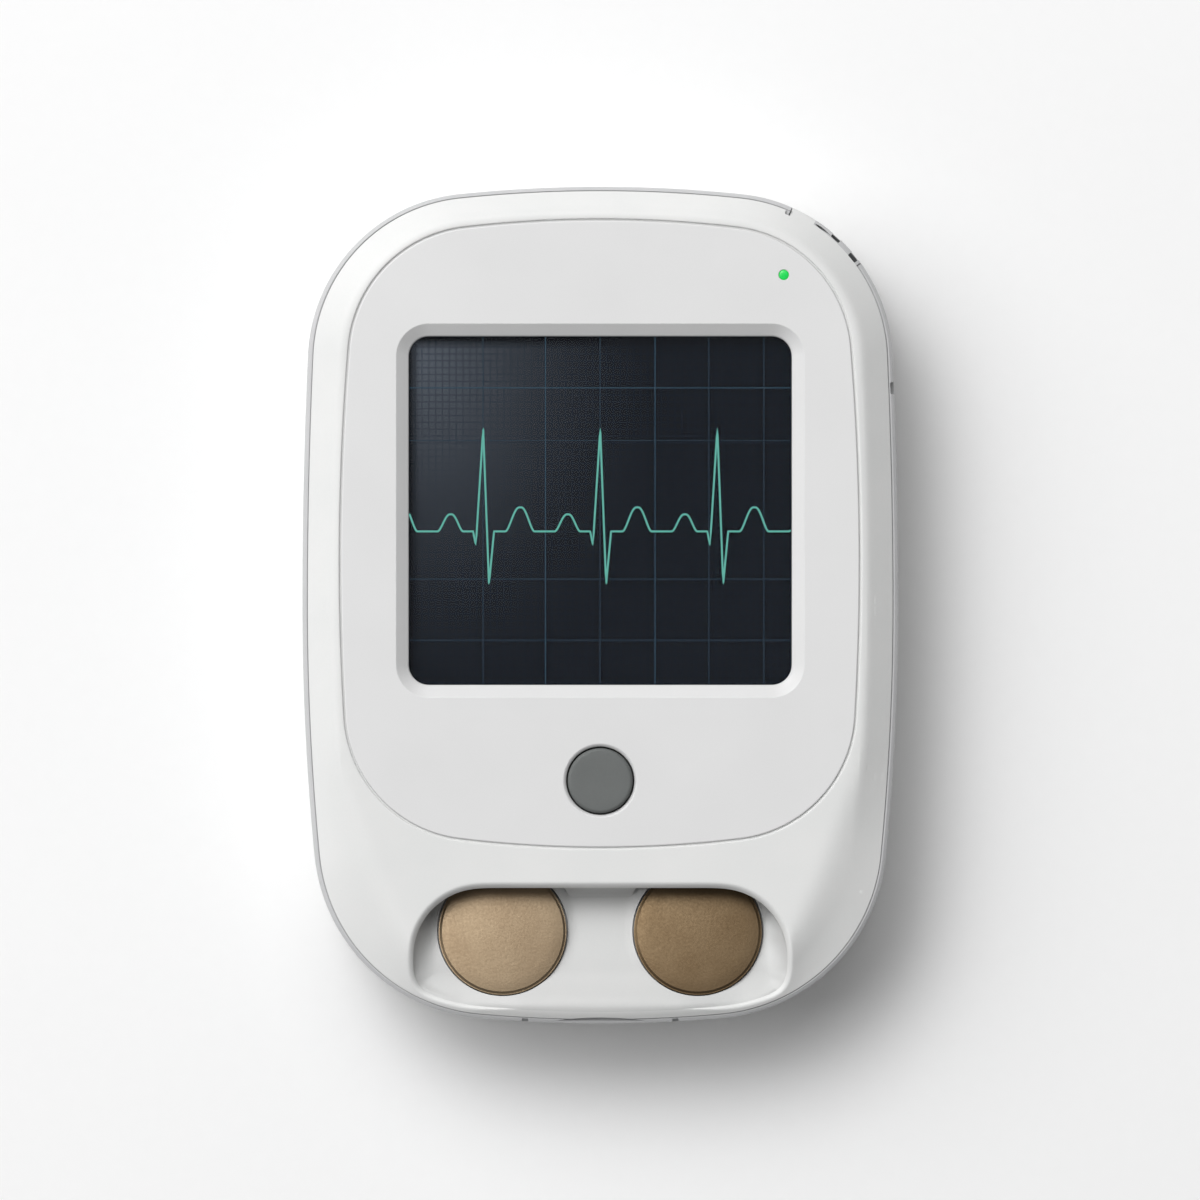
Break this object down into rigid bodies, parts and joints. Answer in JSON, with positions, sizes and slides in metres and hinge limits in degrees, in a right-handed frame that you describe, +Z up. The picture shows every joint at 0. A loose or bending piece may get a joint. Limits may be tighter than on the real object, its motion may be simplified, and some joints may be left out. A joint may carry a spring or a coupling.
{
  "type": "ecg home monitor",
  "caption": "Palm-sized home ECG recorder with an inset screen, a round front button, a side key and a thumb recess with two finger electrodes.",
  "frame": {"origin": "centre of the bounding box at the level of the rubber feet's undersides", "axes": "+Z up out of the face, +Y towards the top edge of the face, +X towards the right-hand side of the face"},
  "size_m": [0.0744, 0.1046, 0.0203],
  "materials": {
    "shell_white": "satin moulded",
    "faceplate": "satin moulded",
    "band": "satin moulded",
    "glass": "polished",
    "screen": "polished",
    "electrode": "fine bead-blasted, bronze coloured",
    "button": "matte moulded",
    "foam": "foam",
    "feet": "matte moulded",
    "black_plastic": "moulded",
    "steel": "plated",
    "spring_gold": "plated",
    "circuit_board": "solder mask",
    "chip": "moulded epoxy",
    "light_guide": "polished",
    "flex": "film",
    "connector": "moulded",
    "foil": "laminate foil",
    "amber_tape": "film",
    "lead_red": "insulation",
    "status_green": "lit"
  },
  "bodies": {
    "housing": {"front_shell": "shell_white", "faceplate": "faceplate", "faceplate_adhesive": "foam", "display_lens": "glass", "display_gasket": "foam", "lcd_panel": "screen", "backlight": "light_guide", "lcd_tray": "black_plastic", "display_flex": "flex", "flex_connector": "connector", "mid_frame": "band", "rear_cover": "shell_white", "rubber_feet": "feet", "case_screws": "steel", "main_board": "circuit_board", "board_screws": "steel", "shield_can": "steel", "ecg_chip": "chip", "board_chips": "chip", "beeper": "black_plastic", "battery_cell": "foil", "battery_guard": "amber_tape", "battery_pad": "foam", "battery_leads": "lead_red", "battery_plug": "connector", "port_shell": "steel", "port_tongue": "black_plastic", "electrode_left": "electrode", "electrode_right": "electrode", "electrode_clip_left": "steel", "electrode_clip_right": "steel", "contact_spring_left": "spring_gold", "contact_spring_right": "spring_gold", "front_switch": "chip", "side_switch": "chip", "status_led": "light_guide", "light_pipe": "status_green"},
    "front_button_body": {"front_button": "button", "front_plunger": "lead_red"},
    "side_key_body": {"side_key": "band", "side_plunger": "connector"}
  },
  "joints": [
    {"name": "front_button_press", "type": "slide", "parent": "housing", "child": "front_button_body", "axis": [0, 0, -1], "range_m": [0, 0.0005], "stiffness_N_per_m": 800},
    {"name": "side_key_press", "type": "slide", "parent": "housing", "child": "side_key_body", "axis": [-0.9996, -0.0274, 0], "range_m": [0, 0.0004], "stiffness_N_per_m": 1000}
  ]
}
